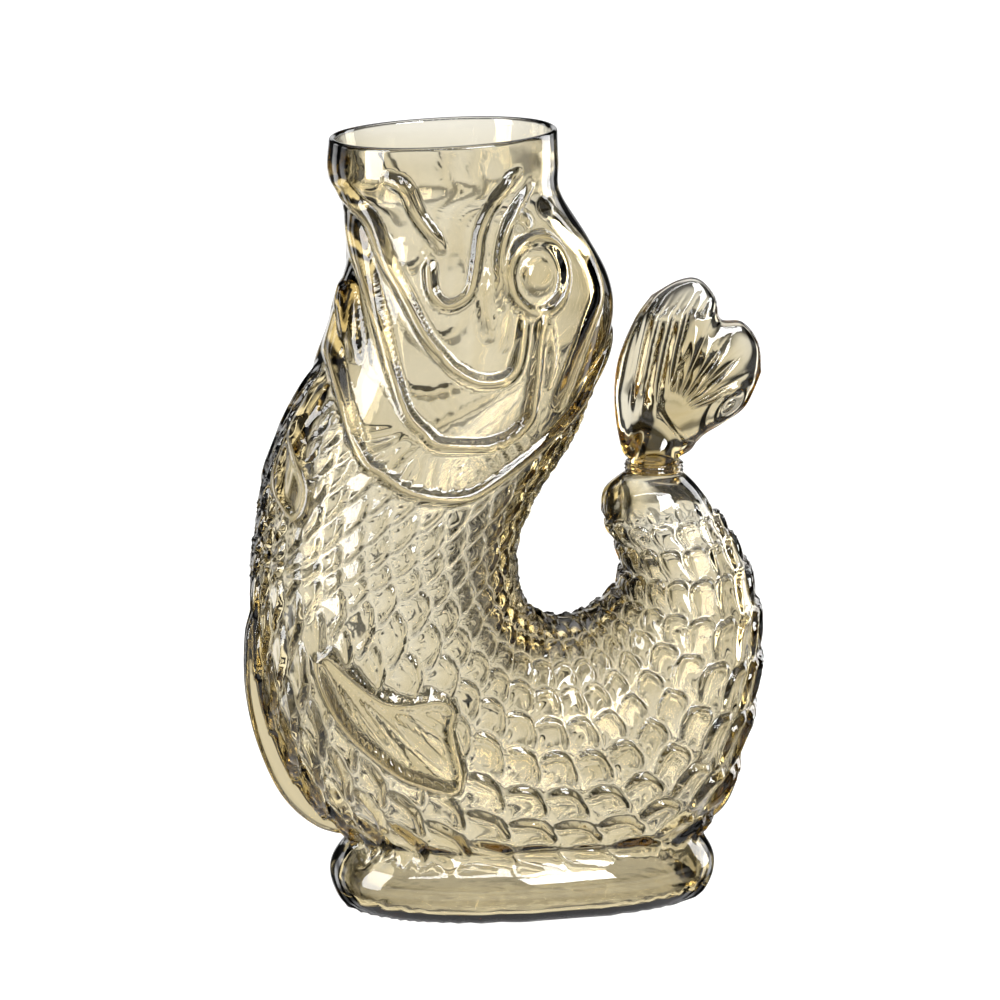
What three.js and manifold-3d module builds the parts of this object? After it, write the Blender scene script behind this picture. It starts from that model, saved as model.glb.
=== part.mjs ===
// Water carafe shaped like a leaping fish: a mould-blown glass body that pours from the open
// mouth, and a solid glass tail fin that is welded to the curled-up tail inside a glass collar.
// Millimetres, +Z up, +X from the pouring lip to the tail, origin at the middle of the foot.
import * as THREE from "three";
import { mergeVertices } from "three/addons/utils/BufferGeometryUtils.js";
import Module from "manifold-3d";

const wasm = await Module();
wasm.setup();

// Driving dimensions
const mouthRadius = 35.7; // outside of the rim
const mouthHeight = 248; // floor to the middle of the rim
const mouthMiddle = -25.8; // of the rim along X
const mouthRise = 3.4; // the rim climbs this much from the pouring lip to the back
const lipDepth = 10.7; // straight collar under the rim
const wall = 2.6; // blown glass
const lipRound = wall * 0.47; // the rim is fire-polished to a full round
const baseThickness = 3.2; // glass under the cavity
const footLength = 125.6;
const footWidth = 79.2;
const footCrest = 9; // height of the foot's widest line
const footUndercut = 3; // how far the standing face lies inside that line
const footShoulder = 4.3; // how far the foot draws in over the same height above the line
const footTop = 26; // the foot runs up inside the body to here
const gapRadius = 18; // finger gap between the back and the tail
const gapX = 14.5;
const gapZ = 108;
const bellyReach = 103; // from the middle of the gap to the belly line
const bellyHalfWidth = 48;
const tailRadius = 9.6; // flat end that carries the fin
const tailX = 43;
const tailZ = 136.5;
const edgeFinThickness = 6; // moulded fins on the seams of the belly and the back
const ridgeHeight = 2.1; // half-round ridges of the face
const ridgeHalfWidth = 2.3;
const ridgeRoot = 1.1; // how deep a ridge is rooted in the wall
const scaleHeight = 1.3;
const collarWidth = 1.6; // ring of glass round the weld, across its section
const collarHeight = 3.6;
const clearance = 0.3; // between welded pieces
const finThickness = 8.4; // tail fin at its thickest
const finTwist = 3; // the upper lobe lies this far behind the middle, the front lobe before it
const finRibs = 8; // fingers that fan out over each face of the tail fin
const finRibHeight = 1.5;
const finFold = 1.3; // the front lobe stands this far over the upper one

// Mesh counts
const bodyColumns = 36;
const rowPitch = 6.2; // between rows of scales, along the middle of the flank
const cavityColumns = 20;
const cavityRowsPerStation = 1;
const footColumns = 32;
const ridgeStepsPerSpan = 2;
const collarColumns = 32;
const finColumns = 64;
const finRows = 10;

const glass = new THREE.MeshStandardMaterial({
  color: 0xc9b98f,
  roughness: 0.05,
  metalness: 0,
  transparent: true,
  opacity: 0.45,
});

// One cross-section of the fish: it runs from the back line to the belly line in the plane of
// symmetry, and reaches halfWidth to each side.
function station(backX, backZ, bellyX, bellyZ, halfWidth) {
  return { backX, backZ, bellyX, bellyZ, halfWidth };
}

// A section on a spoke of the finger gap. The distance from its centre to the belly line and the
// half width are shares of the belly's, and the distance to the back line is a share of the gap's.
function spoke(degrees, reach, width, gap = 1) {
  const angle = THREE.MathUtils.degToRad(degrees);
  const x = Math.cos(angle);
  const z = Math.sin(angle);
  const inner = gapRadius * gap;
  const outer = bellyReach * reach;
  return station(
    gapX + inner * x, gapZ + inner * z, gapX + outer * x, gapZ + outer * z,
    bellyHalfWidth * width,
  );
}

// A section of the round mouth, this far below the rim and this much wider than it.
function mouthSection(drop, wider) {
  const radius = mouthRadius + wider;
  const rise = mouthRise / 2;
  return station(
    mouthMiddle + radius, mouthHeight + rise - drop,
    mouthMiddle - radius, mouthHeight - rise - drop, radius,
  );
}

// A place on the side of the head: X from the middle of the mouth, and how far down it is from
// the rim to the middle of the finger gap, in percent.
function headPlace(x, down) {
  return [mouthMiddle + x, mouthHeight - ((mouthHeight - gapZ) * down) / 100];
}

// A place on the flank: X and Z from the middle of the finger gap, in percent of the reach from
// there to the belly line.
function flankPlace(x, z) {
  return [gapX + (bellyReach * x) / 100, gapZ + (bellyReach * z) / 100];
}

// A section of the head or the shoulder, from its back end to its belly end. Half widths are
// shares of the belly's.
function headSection(back, belly, width) {
  return station(...headPlace(...back), ...headPlace(...belly), bellyHalfWidth * width);
}

// A section of the tail, with its ends measured from the middle of the flat end.
function tailSection(back, belly, width) {
  return station(
    tailX + back[0], tailZ + back[1], tailX + belly[0], tailZ + belly[1], bellyHalfWidth * width,
  );
}

const stations = [
  mouthSection(lipRound, 0),
  mouthSection(lipDepth, 0.4),
  headSection([36.8, 13.6], [-32, 14.3], 0.725),
  headSection([45.4, 23.6], [-29.6, 22.5], 0.76),
  headSection([51.8, 32.1], [-29.8, 30.7], 0.802),
  headSection([53.2, 40], [-33.4, 39.6], 0.833),
  headSection([49.6, 50.9], [-38.9, 50.7], 0.875),
  headSection([42, 66.8], [-49.8, 64.3], 0.938),
  headSection([29.4, 80.4], [-57.2, 78.2], 0.98),
  headSection([22.5, 91.1], [-60, 90.7], 1),
  spoke(180, 0.988, 1),
  spoke(200, 1.036, 0.99),
  spoke(218, 1.083, 0.958),
  spoke(232, 1.087, 0.917),
  spoke(246, 1.068, 0.885),
  spoke(260, 1.019, 0.865),
  spoke(274, 1.005, 0.854),
  spoke(288, 1, 0.833),
  spoke(302, 0.909, 0.802),
  spoke(316, 0.79, 0.74, 1.03),
  spoke(330, 0.704, 0.667, 1.07),
  spoke(345, 0.631, 0.583, 1.05),
  tailSection([-11.1, -26.5], [30.2, -29], 0.479),
  tailSection([-14.4, -19.5], [23.8, -17.5], 0.392),
  tailSection([-16.8, -12.5], [17.8, -9.5], 0.325),
  tailSection([-16, -5.3], [13.6, -4], 0.271),
  tailSection([-tailRadius, 0], [tailRadius, 0], tailRadius / bellyHalfWidth),
];
const lastStation = stations.length - 1;

const backLine = new THREE.SplineCurve(stations.map((s) => new THREE.Vector2(s.backX, s.backZ)));
const bellyLine = new THREE.SplineCurve(stations.map((s) => new THREE.Vector2(s.bellyX, s.bellyZ)));
const widthLine = new THREE.SplineCurve(stations.map((s) => new THREE.Vector2(s.halfWidth, 0)));

// A cosine or sine drawn towards the corners, so that a section is fuller than an ellipse.
const sectionPower = 2.15;
function fuller(value, power) {
  return Math.sign(value) * Math.abs(value) ** (2 / power);
}

// A point of the body's skin, inset from the outside: at is a station number, turn runs round
// the section from the back line over the near side.
function skinPoint(at, turn, inset) {
  const share = at / lastStation;
  const back = backLine.getPoint(share);
  const belly = bellyLine.getPoint(share);
  const across = belly.clone().sub(back);
  const length = across.length() - 2 * inset;
  across.normalize();
  const along = inset + (length * (1 - fuller(Math.cos(turn), sectionPower))) / 2;
  const half = widthLine.getPoint(share).x - inset;
  return new THREE.Vector3(
    back.x + across.x * along,
    -half * fuller(Math.sin(turn), sectionPower),
    back.y + across.y * along,
  );
}

// Closed loft through rings with as many points each. Its ends are closed by fans, or the last
// ring's two sides are zipped together where they meet in an edge, or it loops back to its start.
// The diagonals of its faces alternate, so that every other point can stand out as a pyramid.
function loft(rings, ends = "fans") {
  const count = rings[0].length;
  const points = rings.flat();
  const rows = ends === "loop" ? rings.length : rings.length - 1;
  const indexAt = (row, column) => {
    const c = ((column % count) + count) % count;
    const zipped = ends === "zip" && row === rings.length - 1 && c > count / 2;
    return (row % rings.length) * count + (zipped ? count - c : c);
  };
  const faces = [];
  const triangle = (a, b, c) => {
    if (a !== b && b !== c && a !== c) faces.push(a, b, c);
  };
  for (let row = 0; row < rows; row++) {
    for (let column = 0; column < count; column++) {
      const a = indexAt(row, column);
      const b = indexAt(row, column + 1);
      const c = indexAt(row + 1, column + 1);
      const d = indexAt(row + 1, column);
      if ((row + column) % 2 === 0) {
        triangle(a, b, d);
        triangle(b, c, d);
      } else {
        triangle(a, b, c);
        triangle(a, c, d);
      }
    }
  }
  const fan = (row, reverse) => {
    const middle = points.length;
    const sum = rings[row].reduce((total, p) => total.add(p), new THREE.Vector3());
    points.push(sum.divideScalar(count));
    for (let column = 0; column < count; column++) {
      const a = indexAt(row, column);
      const b = indexAt(row, column + 1);
      if (reverse) triangle(middle, b, a);
      else triangle(middle, a, b);
    }
  };
  if (ends !== "loop") fan(0, true);
  if (ends === "fans") fan(rings.length - 1, false);
  const geometry = new THREE.BufferGeometry().setFromPoints(points);
  geometry.setIndex(faces);
  return geometry;
}

// A closed geometry as a solid that can be joined and cut.
function solidOf(geometry) {
  const bare = geometry.clone();
  bare.deleteAttribute("normal");
  bare.deleteAttribute("uv");
  const merged = mergeVertices(bare, 1e-4);
  return new wasm.Manifold(new wasm.Mesh({
    numProp: 3,
    vertProperties: new Float32Array(merged.attributes.position.array),
    triVerts: new Uint32Array(merged.index.array),
  }));
}

function geometryOf(solid) {
  const mesh = solid.getMesh();
  const geometry = new THREE.BufferGeometry();
  geometry.setAttribute("position", new THREE.BufferAttribute(mesh.vertProperties, 3));
  geometry.setIndex(new THREE.BufferAttribute(mesh.triVerts, 1));
  geometry.computeVertexNormals();
  return geometry;
}

function ringOf(columns, pointAt) {
  return Array.from({ length: columns }, (_, i) => pointAt((2 * Math.PI * i) / columns, i));
}

// Plain skin from the mouth to a station, for the cavity.
function plainSkin(to, inset) {
  const rows = Math.ceil(to * cavityRowsPerStation);
  return Array.from({ length: rows + 1 }, (_, row) => (
    ringOf(cavityColumns, (turn) => skinPoint((to * row) / rows, turn, inset))
  ));
}

// How strongly the scales show: not on the head, which ends lower on the sides than on the seams,
// nor in the finger gap, nor on the foot and the tail's end.
const scalesFrom = { seam: 6.2, side: 8.1 };
function scaleStrength(at, turn) {
  const { smoothstep } = THREE.MathUtils;
  const start = scalesFrom.seam + (scalesFrom.side - scalesFrom.seam) * Math.sin(turn) ** 2;
  const fromGap = Math.min(turn, 2 * Math.PI - turn);
  const height = skinPoint(at, turn, 0).z;
  return smoothstep(at, start, start + 0.6) * smoothstep(fromGap, 0.4, 1.5)
    * smoothstep(height, 2 * footCrest, 2.6 * footCrest) * (1 - smoothstep(at, lastStation - 2, lastStation - 1));
}

// Scaled skin from the mouth to the tail's end: every other point is the raised tip of a scale,
// which lies nearer to the next row.
function scaledSkin(firstRow) {
  const middleAt = (at) => skinPoint(at, 0, 0).lerp(skinPoint(at, Math.PI, 0), 0.5);
  const places = [];
  for (let index = 0; index < lastStation; index++) {
    const length = middleAt(index).distanceTo(middleAt(index + 1));
    const rows = Math.max(1, Math.round(length / rowPitch));
    for (let row = 0; row < rows; row++) places.push({ at: index + row / rows, step: 1 / rows });
  }
  places.push({ at: lastStation, step: 0 });
  return places.map(({ at, step }, row) => ringOf(bodyColumns, (turn, column) => {
    const strength = scaleStrength(at, turn);
    const tip = (firstRow + row + column) % 2 === 0;
    const further = tip ? 0.35 * strength * step : 0;
    return skinPoint(at + further, turn, (tip ? -0.5 : 0.5) * scaleHeight * strength);
  }));
}

// Half of the fire-polished rim, top ring first: it closes in over the skin with this inset, or
// flares out from it.
function lipRings(columns, inset, flare) {
  const steps = 3;
  const rings = [];
  for (let step = 0; step < steps; step++) {
    const angle = (Math.PI / 2) * (1 - step / steps);
    const shift = lipRound * (1 - Math.cos(angle)) * (flare ? -1 : 1);
    rings.push(ringOf(columns, (turn) => {
      const point = skinPoint(0, turn, inset + shift);
      point.z += lipRound * Math.sin(angle);
      return point;
    }));
  }
  return rings;
}

// Foot: ovals stacked from the standing face to inside the body, on a round profile.
const footPower = 2.35;
const footLevels = [0, 0.15, 0.4, 0.7, 1, 1.4, 1.8, footTop / footCrest];

function foot(inset, floor) {
  const rings = footLevels.map((level) => {
    const drawn = level < 1 ? footUndercut : footShoulder;
    const grow = -drawn * (level - 1) ** 2 - inset;
    const z = floor + (level * footCrest * (footTop - floor)) / footTop;
    return ringOf(footColumns, (turn) => new THREE.Vector3(
      (footLength / 2 + grow) * fuller(Math.cos(turn), footPower),
      (footWidth / 2 + grow) * fuller(Math.sin(turn), footPower),
      z,
    ));
  });
  return loft(rings);
}

// A moulded fin on the seam: how far it reaches beyond the belly line at some stations.
const bellyFin = [[10.2, 0], [10.6, 2.6], [11, 4.5], [11.5, 6], [12, 6.5], [12.5, 4], [12.9, 0]];
const backFin = [[17.2, 0], [17.6, 2.2], [18, 5.2], [18.4, 4.8], [18.7, 2.4], [19, 0]];

function edgeFin(reaches) {
  const root = -3 * wall;
  const beyond = (at, reach) => {
    const back = backLine.getPoint(at / lastStation);
    const belly = bellyLine.getPoint(at / lastStation);
    return belly.clone().addScaledVector(belly.clone().sub(back).normalize(), reach);
  };
  const edge = new THREE.SplineCurve(reaches.map(([at, reach]) => beyond(at, reach)));
  const inside = reaches.map(([at]) => beyond(at, root)).reverse();
  const shape = new THREE.Shape([...edge.getPoints(2 * reaches.length), ...inside]);
  const bevel = edgeFinThickness * 0.3;
  const fin = new THREE.ExtrudeGeometry(shape, {
    depth: edgeFinThickness - 2 * bevel,
    bevelThickness: bevel,
    bevelSize: bevel,
    bevelOffset: -bevel,
    bevelSegments: 2,
  });
  fin.translate(0, 0, bevel - edgeFinThickness / 2);
  fin.rotateX(Math.PI / 2);
  return fin;
}

// Station number and turn of the near skin at a place of the side view. The section through it
// is found by halving.
function onSide(x, z) {
  const place = new THREE.Vector2(x, z);
  const ends = (at) => [backLine.getPoint(at / lastStation), bellyLine.getPoint(at / lastStation)];
  let low = 0.3;
  let high = 17;
  for (let step = 0; step < 24; step++) {
    const middle = (low + high) / 2;
    const [back, belly] = ends(middle);
    const ahead = belly.sub(back).cross(place.clone().sub(back)) > 0;
    if (ahead) low = middle;
    else high = middle;
  }
  const [back, belly] = ends(low);
  const across = belly.sub(back);
  const share = place.clone().sub(back).dot(across) / across.lengthSq();
  const cosine = THREE.MathUtils.clamp(1 - 2 * share, -0.985, 0.985);
  return { at: low, turn: Math.acos(fuller(cosine, 4 / sectionPower)) };
}

// The near skin's point and outward normal at a place of the side view.
function skinFrame([x, z]) {
  const { at, turn } = onSide(x, z);
  const small = 0.01;
  const point = skinPoint(at, turn, 0);
  const around = skinPoint(at, turn + small, 0).sub(skinPoint(at, turn - small, 0));
  const down = skinPoint(at + small, turn, 0).sub(skinPoint(at - small, turn, 0));
  return { point, normal: around.cross(down).normalize() };
}

// A half-round ridge along a line of the side view, on both sides of the fish. Its ends run out
// lower and narrower unless it closes on itself.
function ridge(line, height, halfWidth, closed = false) {
  const curve = new THREE.CatmullRomCurve3(
    line.map(([x, z]) => new THREE.Vector3(x, 0, z)), closed, "catmullrom",
  );
  const spans = closed ? line.length : line.length - 1;
  const frames = curve.getPoints(spans * ridgeStepsPerSpan).map((p) => skinFrame([p.x, p.z]));
  if (closed) frames.pop();
  const count = frames.length;
  const section = [[-1, -ridgeRoot], [-0.45, height], [0.45, height], [1, -ridgeRoot]];
  const rings = frames.map(({ point, normal }, index) => {
    const before = frames[closed ? (index + count - 1) % count : Math.max(index - 1, 0)].point;
    const after = frames[closed ? (index + 1) % count : Math.min(index + 1, count - 1)].point;
    const aside = after.clone().sub(before).cross(normal).normalize();
    const fade = !closed && (index === 0 || index === count - 1) ? 0.5 : 1;
    return section.map(([wide, tall]) => point.clone()
      .addScaledVector(aside, wide * halfWidth * fade)
      .addScaledVector(normal, tall > 0 ? tall * fade : tall));
  });
  const mirrored = rings.map((ring) => ring.map((p) => new THREE.Vector3(p.x, -p.y, p.z)).reverse());
  const ends = closed ? "loop" : "fans";
  return solidOf(loft(rings, ends)).add(solidOf(loft(mirrored, ends)));
}

// Lines of the face, from the mouth downwards.
const upperLip = [[-22.5, 7.6], [-17.9, 9.5], [-13.9, 15.5], [-7.8, 22.3]];
const nostrilLoop = [[-11.9, 24.4], [-10.2, 32.1], [-5.2, 35], [1.1, 32.1], [4.4, 19.5], [14, 8.4]];
const cheekFold = [[21.1, 9.9], [15.2, 15.9], [11.2, 22.4], [10.6, 35]];
const jawFold = [
  [-30.4, 13.8], [-25.7, 18.3], [-18.3, 32.5], [-7.7, 46.6], [2.7, 51.9], [10, 51.6], [16.3, 44.6],
  [17.5, 37.1],
];
const innerGill = [
  [-31, 17.2], [-26.9, 28.6], [-22.2, 50.8], [-14.2, 62.9], [-2, 65.6], [13.3, 63.5], [19.4, 56.9],
  [21.9, 44.9], [24.4, 36.6],
];
const gillEdge = [
  [-34.5, 40], [-37.4, 50], [-37, 58], [-32.7, 70], [-22.5, 75.4], [-6.8, 77.9], [11.5, 72.9],
  [23.7, 67.4], [36.2, 60.6], [48, 50.5],
];
const pectoralFin = [[-38.5, 50], [-42.6, 57.6], [-49.1, 66.5], [-47.6, 77.2], [-51, 83.5]];
const eyePlace = [22.5, 29.3];
const eyeRing = { x: 9.4, z: 11.3 };
const eyeBall = { radius: 5.8, height: 2.2 };

// Fin that lies on the flank, with rays from its root.
const pelvicFin = [
  [-81.8, -15.5], [-66, -29], [-49.2, -29.8], [-44.8, -37], [-41.7, -55.2], [-47.1, -60.9],
  [-63.9, -52.8], [-76, -41], [-86.3, -18.7],
];
const pelvicRays = [[-52, -38], [-48, -47], [-54, -54]];

function faceRidges() {
  const onHead = (line) => line.map((place) => headPlace(...place));
  const onFlank = (line) => line.map((place) => flankPlace(...place));
  const [eyeX, eyeZ] = headPlace(...eyePlace);
  const ring = new THREE.EllipseCurve(eyeX, eyeZ, eyeRing.x, eyeRing.z, 0, 2 * Math.PI).getPoints(7);
  const rayRoot = [-80, -22];
  return [
    ...[upperLip, nostrilLoop, cheekFold, jawFold, innerGill, gillEdge].map((line) => (
      ridge(onHead(line), ridgeHeight, ridgeHalfWidth)
    )),
    ridge(onHead(pectoralFin), ridgeHeight, ridgeHalfWidth),
    ridge(ring.slice(0, -1).map((p) => [p.x, p.y]), ridgeHeight, ridgeHalfWidth, true),
    ridge(onFlank(pelvicFin), ridgeHeight, ridgeHalfWidth, true),
    ...pelvicRays.map((end) => ridge(onFlank([rayRoot, end]), scaleHeight, ridgeHalfWidth)),
  ];
}

// The eyes: flattened domes inside their rings.
function eyeBalls() {
  const { point, normal } = skinFrame(headPlace(...eyePlace));
  const ball = new THREE.SphereGeometry(eyeBall.radius, 12, 6);
  ball.scale(1, eyeBall.height / eyeBall.radius, 1);
  const near = ball.clone();
  near.applyQuaternion(new THREE.Quaternion().setFromUnitVectors(new THREE.Vector3(0, 1, 0), normal));
  near.translate(point.x, point.y, point.z);
  const far = ball.clone();
  const mirrored = new THREE.Vector3(normal.x, -normal.y, normal.z);
  far.applyQuaternion(new THREE.Quaternion().setFromUnitVectors(new THREE.Vector3(0, 1, 0), mirrored));
  far.translate(point.x, -point.y, point.z);
  return [solidOf(near), solidOf(far)];
}

function glassBody() {
  const lip = lipRings(bodyColumns, 0, false);
  const outside = solidOf(loft([...lip, ...scaledSkin(lip.length)]));
  const mouth = lipRings(cavityColumns, wall, true);
  const above = mouth[0].map((p) => new THREE.Vector3(p.x, p.y, p.z + wall));
  const inside = solidOf(loft([above, ...mouth, ...plainSkin(lastStation - 0.5, wall)]));
  const moulded = [
    solidOf(foot(0, 0)),
    solidOf(edgeFin(bellyFin)),
    solidOf(edgeFin(backFin)),
    ...faceRidges(),
    ...eyeBalls(),
  ];
  const shell = moulded.reduce((body, form) => body.add(form), outside);
  const hollow = inside.add(solidOf(foot(wall, baseThickness)));
  return geometryOf(shell.subtract(hollow));
}

// The ring of glass round the weld: two soft beads, one above the other.
function weldCollar() {
  const outer = tailRadius;
  const inner = tailRadius - collarWidth;
  const bead = collarHeight / 2;
  const profile = [
    [inner, 0],
    [outer - bead * 0.25, 0],
    [outer, bead * 0.3],
    [outer, bead * 0.7],
    [outer - bead * 0.3, bead],
    [outer - bead * 0.1, bead * 1.3],
    [outer - bead * 0.1, bead * 1.7],
    [outer - bead * 0.4, collarHeight],
    [inner, collarHeight],
    [inner, 0],
  ];
  const ring = new THREE.LatheGeometry(profile.map(([r, z]) => new THREE.Vector2(r, z)), collarColumns);
  ring.rotateX(Math.PI / 2);
  ring.translate(tailX, 0, tailZ + clearance);
  return geometryOf(solidOf(ring));
}

// Tail fin: rails fan out from a round neck, each from the neck to the edge. X and Z from the
// middle of the flat tail end, first the back edge, then the upper lobe, the notch, the front
// lobe and the front edge.
const finRails = [
  [[-10.6, 8], [-12.9, 22], [-11.8, 36], [-6.3, 49.2], [-0.4, 57.1]],
  [[-8, 10], [-7.8, 25], [-4.8, 39.5], [0.8, 52], [8.1, 61.7]],
  [[-4, 11], [-0.8, 26], [4.4, 40], [9.8, 51.8], [14.5, 62.1]],
  [[-0.5, 11], [4.5, 24.5], [10.5, 37.5], [15.8, 48.2], [19.8, 56.5]],
  [[3, 11], [8.5, 21.5], [13.5, 32], [17.7, 41], [21.5, 49.3]],
  [[6.5, 10.5], [13, 19.5], [19.8, 29.5], [25, 39], [28.5, 48.1]],
  [[10.4, 9.2], [15.8, 15.2], [23.2, 22.8], [29.5, 32], [33.6, 41.5]],
  [[12, 6.8], [15.2, 11.3], [22.5, 15.6], [29.5, 20.8], [34.6, 32]],
];
const neckRadius = tailRadius - collarWidth - clearance;
const neckHeight = clearance + collarHeight + 2 * clearance;

function tailFin() {
  const rails = finRails.map((rail, index) => {
    const angle = (Math.PI * index) / (finRails.length - 1);
    const start = new THREE.Vector2(-neckRadius * Math.cos(angle), neckHeight);
    return new THREE.SplineCurve([start, ...rail.map(([x, z]) => new THREE.Vector2(x, z))]);
  });
  const pointAt = (share, turn) => {
    const near = turn <= Math.PI ? 1 : -1;
    const side = near > 0 ? turn : 2 * Math.PI - turn;
    const across = side / Math.PI;
    const middle = new THREE.SplineCurve(rails.map((rail) => rail.getPoint(share))).getPoint(across);
    const spread = THREE.MathUtils.smoothstep(share, 0, 0.55);
    const ribbed = THREE.MathUtils.smoothstep(across, 0.08, 0.18); // the back edge is a smooth band
    const rib = (finRibHeight / 2) * Math.cos(2 * Math.PI * finRibs * across) * ribbed;
    const fold = finFold * THREE.MathUtils.smoothstep(across, 0.42, 0.52);
    const rim = Math.sqrt(Math.max(0, 1 - Math.abs(2 * across - 1) ** 3.2));
    const edge = Math.sqrt(Math.max(0, 1 - share ** 6));
    const plate = ((finThickness / 2) * (1 - 0.2 * share) + rib + fold) * rim;
    const half = THREE.MathUtils.lerp(neckRadius * Math.sin(side), plate, spread) * edge;
    const twist = finTwist * (1 - 2 * across) * share ** 1.5;
    return new THREE.Vector3(tailX + middle.x, twist - near * half, tailZ + middle.y);
  };
  const root = ringOf(finColumns, (turn) => new THREE.Vector3(
    tailX - neckRadius * Math.cos(turn), -neckRadius * Math.sin(turn), tailZ + clearance,
  ));
  const rings = [root];
  for (let row = 0; row <= finRows; row++) {
    const share = 1 - (1 - row / finRows) ** 1.3;
    rings.push(ringOf(finColumns, (turn) => pointAt(share, turn)));
  }
  return geometryOf(solidOf(loft(rings, "zip")));
}

function piece(name, geometry) {
  const mesh = new THREE.Mesh(geometry, glass.clone());
  mesh.name = name;
  return mesh;
}

const carafe = new THREE.Group();
carafe.name = "water_carafe";
carafe.add(piece("glass_body", glassBody()));
carafe.add(piece("weld_collar", weldCollar()));
carafe.add(piece("tail_fin", tailFin()));

export default carafe;
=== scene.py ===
import math
import bpy
import numpy as np
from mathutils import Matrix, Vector


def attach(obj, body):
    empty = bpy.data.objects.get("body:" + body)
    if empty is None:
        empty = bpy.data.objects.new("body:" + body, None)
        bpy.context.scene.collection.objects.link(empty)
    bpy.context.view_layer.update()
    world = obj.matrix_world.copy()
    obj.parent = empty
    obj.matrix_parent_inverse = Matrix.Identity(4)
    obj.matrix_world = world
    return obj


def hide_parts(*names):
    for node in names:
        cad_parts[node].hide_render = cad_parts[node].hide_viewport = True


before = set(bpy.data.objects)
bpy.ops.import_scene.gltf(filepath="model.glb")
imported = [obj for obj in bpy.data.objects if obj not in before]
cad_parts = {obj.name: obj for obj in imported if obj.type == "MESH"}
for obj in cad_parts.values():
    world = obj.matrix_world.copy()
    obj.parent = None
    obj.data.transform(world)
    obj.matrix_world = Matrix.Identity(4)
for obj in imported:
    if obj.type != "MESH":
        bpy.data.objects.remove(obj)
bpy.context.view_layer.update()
mm = 0.001  # shapes are worked out in millimetres, meshes are in metres
print("frame loaded:", ", ".join(sorted(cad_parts)))


# Camera: where the photograph was taken from, with a long lens
cameraView = {
    "azimuth": -12.0,  # degrees, 0 looks along +Y
    "elevation": 11.6,
    "distance": 1.5,
    "target": (-0.0068, 0.0033, 0.1288),  # the middle of the picture
    "lens": 168.75,
    "sensor": 36.0,
    "clip": (0.05, 200.0),
}


def addCamera(view):
    # looks at the target from a distance, turned by the azimuth and raised by the elevation
    azimuth, elevation = math.radians(view["azimuth"]), math.radians(view["elevation"])
    back = Vector((
        math.sin(azimuth) * math.cos(elevation),
        -math.cos(azimuth) * math.cos(elevation),
        math.sin(elevation),
    ))
    data = bpy.data.cameras.new("photoCamera")
    data.lens, data.sensor_width = view["lens"], view["sensor"]
    data.clip_start, data.clip_end = view["clip"]
    camera = bpy.data.objects.new("photoCamera", data)
    bpy.context.collection.objects.link(camera)
    camera.location = Vector(view["target"]) + back * view["distance"]
    camera.rotation_euler = (-back).to_track_quat("-Z", "Y").to_euler()
    bpy.context.scene.camera = camera


addCamera(cameraView)
print("camera placed")


# Number tools
stepsPerPoint = 8  # how finely a smooth line is followed between the points it is given by
beadFullness = 0.8  # a half circle would have 0.5, and a parabola 1


def smoothStep(low, high, value):
    # eases from 0 at low to 1 at high with a cubic
    t = np.clip((value - low) / (high - low), 0.0, 1.0)
    return t * t * (3.0 - 2.0 * t)


def fadeInAndOut(value, start, full, ebb, end):
    # eases from 0 at start to 1 at full, stays there as far as ebb, and eases back to 0 at end
    return smoothStep(start, full, value) * smoothStep(end, ebb, value)


def smoothMax(a, b, width):
    # the larger of two numbers, with the corner between them rounded over a width
    near = np.maximum(width - np.abs(a - b), 0.0) / width
    return np.maximum(a, b) + near * near * width / 4.0


def splineThrough(points, at):
    # uniform Catmull-Rom spline: at counts along the points, 0 is the first one
    points = np.asarray(points, float)
    last = len(points) - 1
    at = np.clip(at, 0.0, last)
    i = np.minimum(np.floor(at).astype(int), last - 1)
    t = (at - i).reshape(at.shape + (1,) * (points.ndim - 1))
    before, start = points[np.maximum(i - 1, 0)], points[i]
    end, after = points[i + 1], points[np.minimum(i + 2, last)]
    leave, arrive = (end - before) / 2.0, (after - start) / 2.0
    cubic = 2.0 * start - 2.0 * end + leave + arrive
    square = -3.0 * start + 3.0 * end - 2.0 * leave - arrive
    return cubic * t ** 3 + square * t ** 2 + leave * t + start


def smoothLine(line, steps):
    # points in even steps along a spline through a few given ones
    return splineThrough(line, np.linspace(0.0, len(line) - 1.0, steps))


def fuller(value, power):
    # a sine or cosine drawn towards the corners, for sections between an oval and a box
    return np.sign(value) * np.abs(value) ** (2.0 / power)


def lineDistance(x, z, line):
    # distance from points to a smooth line through a few given ones, how far along it the nearest
    # place lies, and the line's length
    dense = smoothLine(line, stepsPerPoint * len(line))
    best = np.full(x.shape, np.inf)
    along = np.zeros(x.shape)
    travelled = 0.0
    for (ax, az), (bx, bz) in zip(dense[:-1], dense[1:]):
        length = math.hypot(bx - ax, bz - az)
        ux, uz = (bx - ax) / length, (bz - az) / length
        t = np.clip((x - ax) * ux + (z - az) * uz, 0.0, length)
        d = np.hypot(x - ax - t * ux, z - az - t * uz)
        closer = d < best
        best = np.where(closer, d, best)
        along = np.where(closer, travelled + t, along)
        travelled += length
    return best, along, travelled


def bead(distance, halfWidth):
    # a half-round ridge: 1 on its line, and nothing beyond its half width
    return np.maximum(0.0, 1.0 - (distance / halfWidth) ** 2) ** beadFullness


def roundSpot(distance, radius):
    # a flat-topped spot: 1 in its middle, and fading out about its radius
    return np.exp(-(distance / radius) ** 4)


def insideOutline(x, z, outline):
    # even-odd rule: counts the outline's edges to the right of each point
    corners = np.asarray(outline, float)
    inside = np.zeros(x.shape, bool)
    for (ax, az), (bx, bz) in zip(corners, np.roll(corners, -1, axis=0)):
        if az != bz:
            crossing = ax + (z - az) * (bx - ax) / (bz - az)
            inside ^= ((az > z) != (bz > z)) & (x < crossing)
    return inside


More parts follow.
